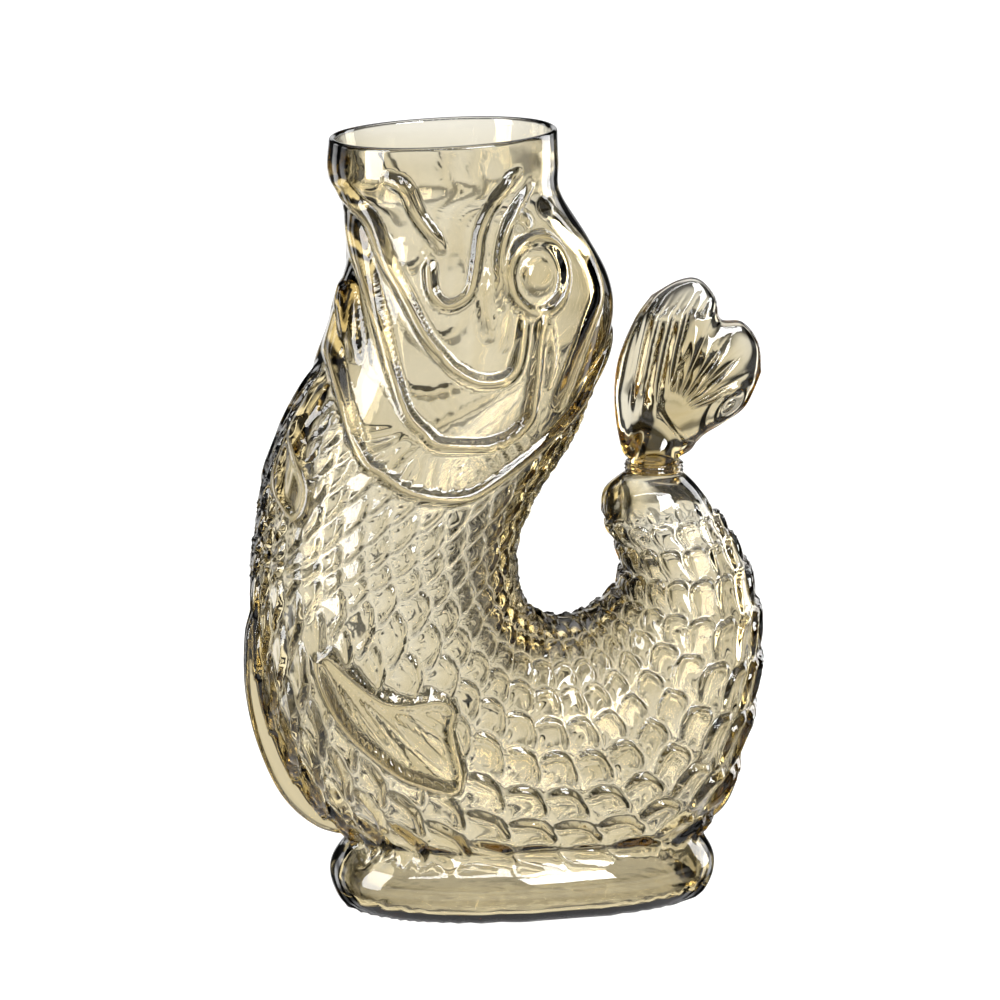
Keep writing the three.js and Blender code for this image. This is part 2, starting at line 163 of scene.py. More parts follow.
def gridNormals(grid):
    # unit normals of a grid whose rows are closed rings, from its two directions
    down = np.gradient(grid, axis=0)
    around = (np.roll(grid, -1, axis=1) - np.roll(grid, 1, axis=1)) / 2.0
    normal = np.cross(around, down)
    return normal / np.maximum(np.linalg.norm(normal, axis=-1, keepdims=True), 1e-9)


def addMesh(name, rings, ends="poles"):
    # a closed skin through rings of points. Ends: a pole on each, or the last ring's two sides
    # zipped together, or a loop from the last ring back to the first
    rows, columns = rings.shape[:2]
    points = rings.reshape(-1, 3)
    index = np.arange(rows * columns).reshape(rows, columns)
    if ends == "zip":
        column = np.arange(columns)
        index[-1] = np.where(column > columns // 2, index[-1][-column % columns], index[-1])
    if ends == "loop":
        index = np.vstack([index, index[:1]])
    a, d = index[:-1], index[1:]
    b, c = np.roll(a, -1, axis=1), np.roll(d, -1, axis=1)
    triangles = [np.stack([a, b, c], -1).reshape(-1, 3), np.stack([a, c, d], -1).reshape(-1, 3)]
    for row, outward in {"poles": [(0, -1), (rows - 1, 1)], "zip": [(0, -1)], "loop": []}[ends]:
        pole = np.full(columns, len(points))
        points = np.vstack([points, rings[row].mean(axis=0)])
        ring = index[row][::outward]
        triangles.append(np.stack([pole, ring, np.roll(ring, -1)], -1))
    faces = np.concatenate(triangles)
    first, second, third = faces.T
    faces = faces[(first != second) & (second != third) & (third != first)]
    used, packed = np.unique(faces, return_inverse=True)
    points, faces = points[used] * mm, packed.reshape(-1, 3).astype(np.int32)
    corner = points[faces]
    volume = np.einsum("ij,ij->", corner[:, 0], np.cross(corner[:, 1], corner[:, 2])) / 6.0
    mesh = bpy.data.meshes.new(name)
    mesh.vertices.add(len(points))
    mesh.vertices.foreach_set("co", points.ravel())
    mesh.loops.add(faces.size)
    mesh.loops.foreach_set("vertex_index", faces.ravel())
    mesh.polygons.add(len(faces))
    mesh.polygons.foreach_set("loop_start", np.arange(0, faces.size, 3, dtype=np.int32))
    mesh.polygons.foreach_set("use_smooth", np.ones(len(faces), bool))
    mesh.update(calc_edges=True)
    piece = bpy.data.objects.new(name, mesh)
    bpy.context.collection.objects.link(piece)
    print(f"{name}: {len(faces)} triangles, {volume * 1e6:.1f} cm3")
    return piece


# Body of the fish: sections from the mouth, round under the finger gap and up to the tail
gapCentre = np.array([14.5, 108.0])
gapRadius = 18.0


def spoke(degrees, reach, halfWidth, gap=1.0):
    # a section on a spoke of the finger gap, whose radius is stretched a little on some
    ray = np.array([math.cos(math.radians(degrees)), math.sin(math.radians(degrees))])
    return [*(gapCentre + gap * gapRadius * ray), *(gapCentre + reach * ray), halfWidth]


bodyShape = {
    # back line x and z, belly line x and z, half width
    "stations": np.array([
        [9.9, 248.5, -61.5, 245.1, 35.7],
        [10.3, 239.0, -61.9, 235.6, 36.1],
        [11.0, 229.0, -57.8, 228.0, 34.8],
        [19.6, 215.0, -55.4, 216.5, 36.5],
        [26.0, 203.0, -55.6, 205.0, 38.5],
        [27.4, 192.0, -59.2, 192.5, 40.0],
        [23.8, 176.8, -64.7, 177.0, 42.0],
        [16.2, 154.5, -75.6, 158.0, 45.0],
        [3.6, 135.5, -83.0, 138.5, 47.0],
        [-3.3, 120.5, -85.8, 121.0, 48.0],
        spoke(180, 101.8, 48),
        spoke(200, 106.7, 47.5),
        spoke(218, 111.5, 46),
        spoke(232, 112, 44),
        spoke(246, 110, 42.5),
        spoke(260, 105, 41.5),
        spoke(274, 103.5, 41),
        spoke(288, 103, 40),
        spoke(302, 93.6, 38.5),
        spoke(316, 81.4, 35.5, 1.03),
        spoke(330, 72.5, 32, 1.07),
        spoke(345, 65, 28, 1.05),
        [31.9, 110.0, 73.2, 107.5, 23.0],
        [28.6, 117.0, 66.8, 119.0, 18.8],
        [26.2, 124.0, 60.8, 127.0, 15.6],
        [27.0, 131.2, 56.6, 132.5, 13.0],
        [33.4, 136.5, 52.6, 136.5, 9.6],
    ]),
    "sectionPower": 2.15,
    "wall": 2.6,
    "rimWall": 2.1,  # it thins out towards the fire-polished rim
    "lowWall": 3.3,  # and is thicker low down, where the glass was cooler
    "tailWall": 1.8,  # and thin where the tail was drawn out
    # stations between which it goes over to each of these
    "rimFade": (2.5, 0.0),
    "lowFade": (11.0, 14.0),
    "tailFade": (21.0, 24.0),
    "lip": 1.3,
    "lipSteps": 9,
    "innerEnd": 25.6,  # station where the cavity stops, below the solid tail end
    "farRelief": (0.5, 0.65),  # the relief is fainter on the far side: on its face, and on its scales
    "rows": 372,
    "innerRows": 66,
    "columns": 224,
    # station, spread and strength: rows crowd on the face, and in the cavity they crowd at the foot
    "faceCrowding": (4.5, 3.2, 0.3),
    "innerCrowding": (14.5, 3.5, 5.0),
    "seamCrowding": (1.2, 0.12),  # strength and spread: columns crowd at the belly line's edge fins
    "nearShare": 0.6,  # of the columns lie on the near side
    "bellyWeight": 0.6,  # of the belly line against the flank where rows are spaced
    "fineRows": 2000,  # steps in which the spacing is worked out
    "fineColumns": 4001,
}

footShape = {
    "halfLength": 62.8,
    "halfWidth": 39.6,
    "power": 2.35,
    "middle": np.array([0.0, 0.0, 30.0]),  # the foot swells out from here
    "crest": 9.0,  # height of its widest line
    "drawn": (3.0, 4.3),  # how far it draws in over that height, below the line and above it
    "blend": 6.0,
    "floor": 3.2,  # glass under the cavity
    "top": 60.0,  # nothing above this height belongs to the foot
    "halvings": 30,  # in the search for its skin
}

# Thin fins on the seam of the mould: stations, and how far each fin reaches beyond the belly line
edgeFins = {
    "bellyFin": ([10.25, 10.5, 11.0, 11.5, 12.0, 12.5, 12.9], [0.0, 2.8, 4.8, 6.2, 6.6, 4.4, 0.0]),
    "backFin": ([17.2, 17.6, 18.0, 18.4, 18.7, 19.0], [0.0, 2.2, 5.2, 4.8, 2.4, 0.0]),
}
edgeFinSection = {
    "half": 3.4,  # half of a fin's thickness
    "skirt": 5.4,  # the skin this near to the seam makes the fin
    "full": 2.0,  # a fin that reaches this far has its full thickness
    # share of the skirt from the seam outwards, how far out the fin stands there and how thick it is
    "share": [0.0, 0.16, 0.28, 0.8, 1.0],
    "out": [1.0, 0.95, 0.76, 0.02, 0.0],
    "thick": [0.0, 0.62, 0.97, 1.05, 1.59],
}


def bodySkin(at, turn, inset):
    # each section is a full oval between the back line and the belly line; turn goes round it
    # from the back line over the near side
    station = splineThrough(bodyShape["stations"], at)
    back, belly, half = station[..., 0:2], station[..., 2:4], station[..., 4] - inset
    across = belly - back
    length = np.linalg.norm(across, axis=-1, keepdims=True)
    across = across / length
    share = (1.0 - fuller(np.cos(turn), bodyShape["sectionPower"]))[..., None] / 2.0
    inset = (inset * np.ones_like(half))[..., None]
    place = back + across * (inset + (length - 2.0 * inset) * share)
    side = -half * fuller(np.sin(turn), bodyShape["sectionPower"])
    return np.stack([place[..., 0], side, place[..., 1]], -1)


def footRadius(ray, inset, floor):
    # distance from the foot's middle to its skin along each ray, found by halving
    height = footShape["middle"][2]
    down = ray[..., 2] < -1e-3  # the other rays don't meet the floor
    toFloor = np.where(down, (height - floor) / np.where(down, -ray[..., 2], 1.0), 0.0)

    def beyond(t):
        rise = (height + t * ray[..., 2]) / footShape["crest"] - 1.0
        grow = -np.where(rise < 0.0, *footShape["drawn"]) * rise ** 2 - inset
        x = np.abs(t * ray[..., 0]) / (footShape["halfLength"] + grow)
        y = np.abs(t * ray[..., 1]) / (footShape["halfWidth"] + grow)
        return x ** footShape["power"] + y ** footShape["power"] > 1.0

    low, high = np.zeros_like(toFloor), toFloor.copy()
    for _ in range(footShape["halvings"]):
        middle = (low + high) / 2.0
        out = beyond(middle)
        low, high = np.where(out, low, middle), np.where(out, middle, high)
    return np.where(beyond(toFloor), low, toFloor)


def bodyWithFoot(at, turn, inset, floor):
    # the body's skin pushed out to the foot's wherever that reaches further
    skin = bodySkin(at, turn, inset)
    ray = skin - footShape["middle"]
    reach = np.linalg.norm(ray, axis=-1)
    ray = ray / reach[..., None]
    swollen = smoothMax(reach, footRadius(ray, inset, floor), footShape["blend"])
    reach = np.where(skin[..., 2] < footShape["top"], swollen, reach)
    return footShape["middle"] + ray * reach[..., None]


# Relief that the mould presses into the body, drawn as x and z of the side view. It is the same on
# both sides, but fainter on the far one.
faceRelief = {
    # name: line, height, half width
    "jawFold": ([(-60.2, 232.8), (-56.2, 228.7), (-51.5, 222.4), (-47.6, 210.4), (-44.1, 202.5),
                 (-38.5, 189.6), (-33.5, 182.8), (-29.8, 178.9), (-23.1, 175.4), (-15.8, 175.7),
                 (-11.6, 178.9), (-9.5, 185.6), (-8.3, 196.0)], 2.1, 2.3),
    "innerGill": ([(-56.8, 223.9), (-52.7, 207.9), (-50.2, 190.0), (-48.0, 176.9), (-45.1, 165.9),
                   (-40.0, 160.0), (-36.8, 157.0), (-27.8, 156.1), (-19.5, 156.2), (-12.5, 159.1),
                   (-7.8, 163.4), (-6.4, 168.3), (-5.0, 176.3), (-3.9, 185.2), (-2.5, 192.2),
                   (-1.4, 196.8)], 2.1, 2.3),
    "throatRidge": ([(-55.8, 208.3), (-56.7, 197.7), (-57.6, 181.1)], 1.7, 2.0),
    "upperLip": ([(-48.3, 237.3), (-43.7, 234.7), (-39.7, 226.3), (-35.6, 220.2), (-33.6, 216.8)],
                 2.4, 2.5),
    "nostrilLoop": ([(-37.7, 213.9), (-36.6, 209.7), (-36.0, 203.0), (-32.9, 199.1), (-29.1, 199.2),
                     (-24.7, 203.1), (-22.6, 212.5), (-21.4, 220.7), (-17.7, 228.8), (-11.8, 236.3),
                     (-9.1, 238.6)], 2.2, 2.0),
    "cheekFold": ([(-4.7, 234.1), (-10.6, 225.7), (-14.6, 216.6), (-15.7, 204.5), (-15.2, 199.0)],
                  1.9, 1.9),
    "tearDrop": ([(-19.6, 207.5), (-20.7, 199.0), (-19.3, 190.0)], 1.4, 2.8),
    "eyeFoldFront": ([(-12.4, 197.5), (-13.5, 192.0), (-14.4, 186.0)], 1.3, 1.5),
    "eyeFoldBack": ([(-1.4, 196.0), (0.2, 188.8), (0.8, 181.0), (-0.6, 173.0)], 1.3, 1.6),
    "nape": ([(2.5, 225.9), (9.2, 218.2), (15.4, 210.9), (18.2, 199.9), (14.2, 191.0), (9.0, 180.4),
              (3.1, 167.2)], 1.3, 2.6),
}
ridgeEnds = {
    "fade": (-1.0, 6.0),  # distances from an end of a ridge over which it rises
    "least": 0.4,  # share of its height at the end itself
}

faceSpots = {
    # name: place, radius, height, which is below zero for a pit
    "browKnob": ((-7.3, 223.3), 2.8, 1.5),
    "crownKnob": ((1.5, 227.0), 2.6, 1.2),
    "crownPit": ((0.6, 232.0), 1.8, -1.2),
    "lipPit": ((-39.4, 212.6), 2.2, -1.8),
    "cheekPit": ((-19.3, 212.6), 1.8, -1.6),
}

gillCover = {
    "edge": [(-59.0, 200.0), (-61.3, 189.1), (-63.4, 179.5), (-63.3, 167.6), (-61.7, 157.4),
             (-58.5, 150.0), (-54.4, 147.0), (-48.3, 142.5), (-41.1, 140.0), (-32.6, 139.0),
             (-24.7, 140.2), (-14.3, 145.9), (-7.4, 150.1), (-2.1, 153.6), (10.4, 163.1),
             (16.2, 170.1), (22.0, 176.5), (30.0, 186.0)],
    "rise": 1.0,  # the cover stands this far above the scales
    "slope": 12.0,  # and thins out over this distance towards the face
    "drop": 1.0,
    "rim": (1.7, 2.3),  # height and half width of the bead along its edge
    "ribPitch": 5.2,
    "ribHeight": 0.5,
    "ribsInside": (3.0, 5.0, 10.0, 14.5),  # distances from the edge where ribs come in and fade out
    "ribsAlong": (38.0, 50.0, 104.0, 118.0),  # and distances along it
    "edgeSteps": 100,
    "beyondHead": [(60.0, 260.0), (-100.0, 260.0), (-100.0, 200.0)],  # closes the edge round the head
}

eye = {
    "centre": (-3.3, 207.0),
    "ring": (9.4, 11.3),  # half axes
    "ringHeight": 2.4,
    "ringWidth": 2.1,
    "ringGap": (0.6, 0.4),  # below the eye the ring is lower by this share, over this angle
    "clearOf": (0.75, 1.1),  # shares of the ring's size between which the lines of the face come in
    "ballRadius": 5.8,
    "ballHeight": 1.5,
    "pupil": (0.9, 0.5),  # from the centre
    "pupilRadius": 3.0,
    "pupilDepth": 0.6,
}

# Fins that lie on the flank: a raised leaf with ribs from its root and a bead along its free edge
flankFins = {
    "pelvicFin": {
        "outline": [(-69.8, 92.0), (-53.5, 78.1), (-36.2, 77.3), (-31.3, 72.1), (-32.3, 66.3),
                    (-29.5, 56.2), (-28.4, 51.1), (-29.9, 46.1), (-34.0, 45.3), (-41.9, 48.3),
                    (-51.3, 53.6), (-63.6, 65.0), (-71.1, 77.7), (-74.4, 88.7)],
        "root": (-72.5, 92.0),
        "leaf": 0.9,
        "ribs": 34.0,  # in a full turn about the root
        "ribHeight": 0.3,
        "rim": (2.1, 2.2),  # height and half width
        # share of the way round the outline, and of the rim's height there
        "rimAlong": ([0.0, 0.1, 0.28, 0.36, 0.55, 0.62, 0.9, 1.0],
                     [0.6, 0.4, 0.4, 0.75, 0.75, 1.2, 1.1, 0.6]),
    },
    "pectoralFin": {
        "outline": [(-64.1, 181.9), (-78.9, 153.3), (-82.1, 140.8), (-81.3, 134.7), (-77.2, 130.8),
                    (-73.4, 139.9), (-74.9, 154.9), (-68.4, 167.3)],
        "root": (-64.1, 184.0),
        "leaf": 0.6,
        "ribs": 60.0,
        "ribHeight": 0.3,
        "rim": (1.0, 1.5),
        "rimAlong": ([0.0, 1.0], [1.0, 1.0]),
    },
}
flankFinFades = {
    "root": (4.0, 18.0),  # distances from the root over which ribs and rim grow
    "rimAtRoot": 0.4,  # share of the rim's height at the root
    # distances inside the outline
    "leaf": (-0.6, 1.4),
    "ribs": (1.5, 4.0),
    "cover": (-2.0, -0.3),  # the scales give way here
}

# Scales: row numbers rise towards the tail and column numbers towards the belly line. Both change
# along the stations and over the flank, from 0 at the back line to 1 at the belly line.
scaleLattice = {
    "stations": [6, 8, 10, 12, 14, 16, 18, 20, 22, 24, 26],
    "rowAtBack": [0.0, 1.7, 3.4, 4.9, 6.2, 7.8, 9.6, 11.1, 12.6, 14.3, 15.9],
    "rowsToBelly": [-15.1, -12.8, -10.5, -8.1, -5.9, -4.1, -2.7, -1.8, -0.8, 0.2, 1.2],
    "columnAtBack": [0.0, 1.9, 3.7, 5.4, 6.2, 6.8, 7.7, 8.2, 8.5, 8.6, 8.7],
    "columnsToBelly": [19.2, 17.6, 15.9, 14.5, 13.2, 12.0, 11.0, 9.6, 8.0, 6.4, 4.8],
    "height": 1.9,
    "lowest": 0.45,  # share by which the lowest ones are taller
    "ridge": 0.7,  # of the thin ridge along the free edges
    "ridgePlace": (0.84, 0.08),  # share of a scale where that lies, and how far it spreads
    "sunk": 1.05,  # depth of the skin between the scales, which swell on both sides of it
    "climb": 0.35,  # share of a scale over which it swells
    "edge": 0.2,  # share of a scale over which its free edges fall
    "bow": 0.22,  # how far the middle of a free edge stands beyond its ends
}

# Where each kind of relief comes in: the value at which it starts, and at which it is full
reliefFades = {
    # heights
    "belowRim": (244.0, 236.0),
    "scalesAboveFoot": (17.0, 21.0),
    "tallScales": (75.0, 45.0),
    # stations
    "headEnd": 9.0,
    "flankEnd": 14.0,
    "scalesBelowTailEnd": (24.6, 23.4),
    "farFaceToScales": (6.0, 10.0),
    # distances inside the edge of the gill cover
    "scalesBeyondGill": (-0.8, -3.0),
    "faceInsideGill": (-0.5, 1.5),
    "flankFinsBeyondGill": (-0.5, -2.0),
    "flankSide": 0.15,  # sine of the turn, below which the seams have no flank fins
    "scalesOffEdgeFins": (1.5, 0.2),  # reach of an edge fin
    "farSide": (-6.0, 6.0),  # from the near side to the far one
}


def faceHeight(x, z):
    # half-round ridges along the face lines, knobs and pits, and the ringed eye
    height = np.zeros_like(x)
    for line, tall, wide in faceRelief.values():
        distance, along, length = lineDistance(x, z, line)
        taper = smoothStep(*ridgeEnds["fade"], along) * smoothStep(*ridgeEnds["fade"], length - along)
        share = ridgeEnds["least"] + (1.0 - ridgeEnds["least"]) * taper
        height = np.maximum(height, tall * share * bead(distance, wide))
    for (px, pz), radius, tall in faceSpots.values():
        height += tall * roundSpot(np.hypot(x - px, z - pz), radius)
    ex, ez = x - eye["centre"][0], z - eye["centre"][1]
    oval = np.hypot(ex / eye["ring"][0], ez / eye["ring"][1])
    ring = np.abs(oval - 1.0) * min(eye["ring"])
    lower, angle = eye["ringGap"]
    fullness = 1.0 - lower * np.exp(-((np.arctan2(ez, ex) + math.pi / 2.0) / angle) ** 2)
    height = height * smoothStep(*eye["clearOf"], oval)
    height = np.maximum(height, eye["ringHeight"] * fullness * bead(ring, eye["ringWidth"]))
    height += eye["ballHeight"] * bead(np.hypot(ex, ez), eye["ballRadius"])
    pupil = np.hypot(ex - eye["pupil"][0], ez - eye["pupil"][1])
    return height - eye["pupilDepth"] * roundSpot(pupil, eye["pupilRadius"])


def gillHeight(x, z):
    # the head stands proud along the edge of the gill cover, which has a bead along it and soft
    # ribs inside it; also gives the distance inside the edge
    cover = gillCover
    distance, along, _ = lineDistance(x, z, cover["edge"])
    edge = smoothLine(cover["edge"], cover["edgeSteps"])
    head = insideOutline(x, z, [*edge, *cover["beyondHead"]])
    signed = np.where(head, distance, -distance)
    proud = cover["rise"] * np.exp(-(np.maximum(signed, 0.0) / cover["slope"]) ** 2)
    proud = proud * smoothStep(-cover["drop"], cover["drop"], signed)
    tall, wide = cover["rim"]
    rim = tall * bead(signed - wide / 2.0, wide)
    ribs = cover["ribHeight"] * np.cos(2.0 * math.pi * along / cover["ribPitch"])
    ribs = ribs * fadeInAndOut(signed, *cover["ribsInside"]) * fadeInAndOut(along, *cover["ribsAlong"])
    return proud + rim + ribs, signed


def flankFinHeight(x, z):
    # each fin's leaf, ribs and rim, and how far a point is covered by a fin
    fades = flankFinFades
    height, cover = np.zeros_like(x), np.zeros_like(x)
    for fin in flankFins.values():
        loop = [*fin["outline"], fin["outline"][0]]
        distance, along, length = lineDistance(x, z, loop)
        outline = smoothLine(loop, stepsPerPoint * len(loop))[:-1]
        signed = np.where(insideOutline(x, z, outline), distance, -distance)
        rx, rz = x - fin["root"][0], z - fin["root"][1]
        away = smoothStep(*fades["root"], np.hypot(rx, rz))
        ribs = fin["ribHeight"] * np.cos(fin["ribs"] * np.arctan2(rz, rx)) * away
        ribs = ribs * smoothStep(*fades["ribs"], signed)
        leaf = smoothStep(*fades["leaf"], signed) * (fin["leaf"] + ribs)
        tall, wide = fin["rim"]
        tall = tall * np.interp(along / length, *fin["rimAlong"])
        tall = tall * (fades["rimAtRoot"] + (1.0 - fades["rimAtRoot"]) * away)
        height = np.maximum(height, leaf + tall * bead(signed - wide / 2.0, wide))
        cover = np.maximum(cover, smoothStep(*fades["cover"], signed))
    return height, cover


def scaleHeight(at, turn):
    # each scale swells from two of its edges and falls at the other two, which are bowed and free:
    # one faces the tail, the other one the back line
    lattice = scaleLattice
    flank = np.abs((turn + math.pi) % (2.0 * math.pi) - math.pi) / math.pi

    def field(first, change):
        place = np.interp(at, lattice["stations"], np.arange(len(lattice["stations"])))
        values = splineThrough(np.stack([lattice[first], lattice[change]], -1), place)
        return values[..., 0] + values[..., 1] * flank

    def rise(share):
        swell = 1.0 - np.exp(-share / lattice["climb"])
        return swell * smoothStep(0.0, lattice["edge"], 1.0 - share)

    def ridge(share):
        place, spread = lattice["ridgePlace"]
        return np.exp(-((share - place) / spread) ** 2)

    row, column = field("rowAtBack", "rowsToBelly"), -field("columnAtBack", "columnsToBelly")
    across = (column + lattice["bow"] * (2.0 * (row % 1.0) - 1.0) ** 2) % 1.0
    along = (row + lattice["bow"] * (2.0 * across - 1.0) ** 2) % 1.0
    crest = np.maximum(ridge(along) * rise(across), ridge(across) * rise(along))
    return lattice["height"] * rise(along) * rise(across) + lattice["ridge"] * crest - lattice["sunk"]


def raiseEdgeFins(at, turn, skin):
    # lifts the skin on both sides of the seam into thin plates with round edges, and gives how far
    # it went
    fins = np.zeros_like(at)
    for stations, lengths in edgeFins.values():
        place = np.interp(at, stations, np.arange(len(stations)))
        fins += np.maximum(splineThrough(lengths, place), 0.0)
    station = splineThrough(bodyShape["stations"], at)
    across = station[..., 2:4] - station[..., 0:2]
    across = across / np.linalg.norm(across, axis=-1, keepdims=True)
    section = edgeFinSection
    side = skin[..., 1]
    share = np.abs(side) / section["skirt"]
    onSeam = (np.cos(turn) < 0.0) & (share < 1.0)
    reach = fins * np.interp(share, section["share"], section["out"]) * onSeam
    plate = np.sign(side) * section["half"] * np.interp(share, section["share"], section["thick"])
    skin[..., 1] = side + (plate - side) * smoothStep(0.0, section["full"], fins) * onSeam
    skin[..., [0, 2]] += across * reach[..., None]
    return reach


def stationRows(count, end, crowding):
    # station numbers spaced evenly along the flank and the belly line, but crowded about one of them
    fine = np.linspace(0.0, end, bodyShape["fineRows"])
    middle = bodySkin(fine, np.full_like(fine, math.pi / 2.0), 0.0)
    belly = bodySkin(fine, np.full_like(fine, math.pi), 0.0)
    stride = np.linalg.norm(np.diff(middle, axis=0), axis=1)
    stride = stride + bodyShape["bellyWeight"] * np.linalg.norm(np.diff(belly, axis=0), axis=1)
    station, spread, strength = crowding
    stride = stride * (1.0 + strength * np.exp(-((fine[1:] - station) / spread) ** 2))
    travelled = np.concatenate([[0.0], np.cumsum(stride)])
    return np.interp(np.linspace(0.0, travelled[-1], count), travelled, fine)


def bodyGrid(rows, end, crowding):
    # station numbers down the rows, and turns round the section along the columns
    fine = np.linspace(0.0, 2.0 * math.pi, bodyShape["fineColumns"])
    strength, spread = bodyShape["seamCrowding"]
    density = np.where(fine < math.pi, bodyShape["nearShare"], 1.0 - bodyShape["nearShare"])
    density = density + strength * np.exp(-((fine - math.pi) / spread) ** 2)
    travelled = np.concatenate([[0.0], np.cumsum(density[1:])])
    even = np.linspace(0.0, travelled[-1], bodyShape["columns"], endpoint=False)
    turn = np.interp(even, travelled, fine)
    return np.broadcast_arrays(stationRows(rows, end, crowding)[:, None], turn[None, :])


def moulded(rows, end):
    # the outside: the body's skin with its edge fins, and the relief along its normals
    fades = reliefFades
    at, turn = bodyGrid(rows, end, bodyShape["faceCrowding"])
    skin = bodyWithFoot(at, turn, 0.0, 0.0)
    normals = gridNormals(skin)
    reach = raiseEdgeFins(at, turn, skin)
    x, y, z = skin[..., 0], skin[..., 1], skin[..., 2]
    proud, inHead = gillHeight(x, z)
    leaf, covered = flankFinHeight(x, z)
    head = at < fades["headEnd"]
    flank = (at < fades["flankEnd"]) & (np.abs(np.sin(turn)) > fades["flankSide"])
    onFace = np.where(head, smoothStep(*fades["faceInsideGill"], inHead), 0.0)
    face = np.where(head, proud, 0.0) + faceHeight(x, z) * onFace
    offFace = np.where(head, smoothStep(*fades["flankFinsBeyondGill"], inHead), 1.0)
    onScales = np.where(head, smoothStep(*fades["scalesBeyondGill"], inHead), 1.0)
    onScales = onScales * (1.0 - covered * flank) * smoothStep(*fades["scalesBelowTailEnd"], at)
    onScales = onScales * smoothStep(*fades["scalesAboveFoot"], z)
    onScales = onScales * smoothStep(*fades["scalesOffEdgeFins"], reach)
    taller = 1.0 + scaleLattice["lowest"] * smoothStep(*fades["tallScales"], z)
    height = face * smoothStep(*fades["belowRim"], z) + leaf * flank * offFace
    height = height + scaleHeight(at, turn) * taller * onScales
    onFarFace, onFarScales = bodyShape["farRelief"]
    far = onFarFace + (onFarScales - onFarFace) * smoothStep(*fades["farFaceToScales"], at)
    height = height * (1.0 - (1.0 - far) * smoothStep(*fades["farSide"], y))
    return skin + normals * height[..., None]


def lipRings(first, second):
    # half a circle from one side of the wall over to the other, raised on the rim
    angle = np.linspace(0.0, math.pi, bodyShape["lipSteps"])[1:-1, None, None]
    middle, half = (first + second) / 2.0, (first - second) / 2.0
    rise = np.array([0.0, 0.0, bodyShape["lip"]])
    return middle + half * np.cos(angle) + rise * np.sin(angle)


def makeBody():
    # the outside, the lip and the inside as one skin, with the wall's thickness along the stations
    shape = bodyShape
    last = len(shape["stations"]) - 1.0
    outside = moulded(shape["rows"], last)
    outside[..., 2] = np.maximum(outside[..., 2], 0.0)
    at, turn = bodyGrid(shape["innerRows"], shape["innerEnd"], shape["innerCrowding"])
    wall = shape["wall"] + (shape["rimWall"] - shape["wall"]) * smoothStep(*shape["rimFade"], at)
    wall = wall + (shape["lowWall"] - shape["wall"]) * smoothStep(*shape["lowFade"], at)
    wall = wall + (shape["tailWall"] - shape["lowWall"]) * smoothStep(*shape["tailFade"], at)
    inside = bodyWithFoot(at, turn, wall, footShape["floor"])
    rings = np.concatenate([inside[::-1], lipRings(inside[0], outside[0]), outside])
    return addMesh("fishBody", rings)


fishBody = makeBody()
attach(fishBody, "root")
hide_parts("glass_body")


# Collar: threads of glass wound round the weld between the tail and its fin
backX, tailZ, bellyX, _, tailRadius = bodyShape["stations"][-1]
tail = {"x": (backX + bellyX) / 2.0, "z": tailZ, "radius": tailRadius, "clearance": 0.3}
collarShape = {
    "width": 1.6,
    "height": 3.6,
    "sectionPower": 3.5,
    "threads": 3,
    "threadDepth": 0.6,
    "threadFade": 0.4,  # from the middle of the section outwards, the inside is plain
    "columns": 160,
    "rows": 48,
}


def makeCollar():
    # a round-cornered section with threads, which climb as it is carried round the tail's axis
    shape = collarShape
    turn = np.linspace(0.0, 2.0 * math.pi, shape["columns"], endpoint=False)[:, None]
    around = np.linspace(2.0 * math.pi, 0.0, shape["rows"], endpoint=False)[None, :]
    radius = tail["radius"] - shape["width"] / 2.0
    out = fuller(np.cos(around), shape["sectionPower"]) * shape["width"] / 2.0
    up = fuller(np.sin(around), shape["sectionPower"]) * shape["height"] / 2.0
    climb = 2.0 * math.pi * shape["threads"] * up / shape["height"] + turn
    groove = shape["threadDepth"] * (0.5 - 0.5 * np.cos(climb))
    groove = groove * smoothStep(0.0, shape["threadFade"], out)
    distance = radius + out - groove
    height = tail["z"] + tail["clearance"] + shape["height"] / 2.0 + up
    ring = np.stack(np.broadcast_arrays(
        tail["x"] + distance * np.cos(turn), distance * np.sin(turn), height), -1)
    return addMesh("weldCollar", ring, ends="loop")


weldCollar = makeCollar()
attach(weldCollar, "root")
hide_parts("weld_collar")


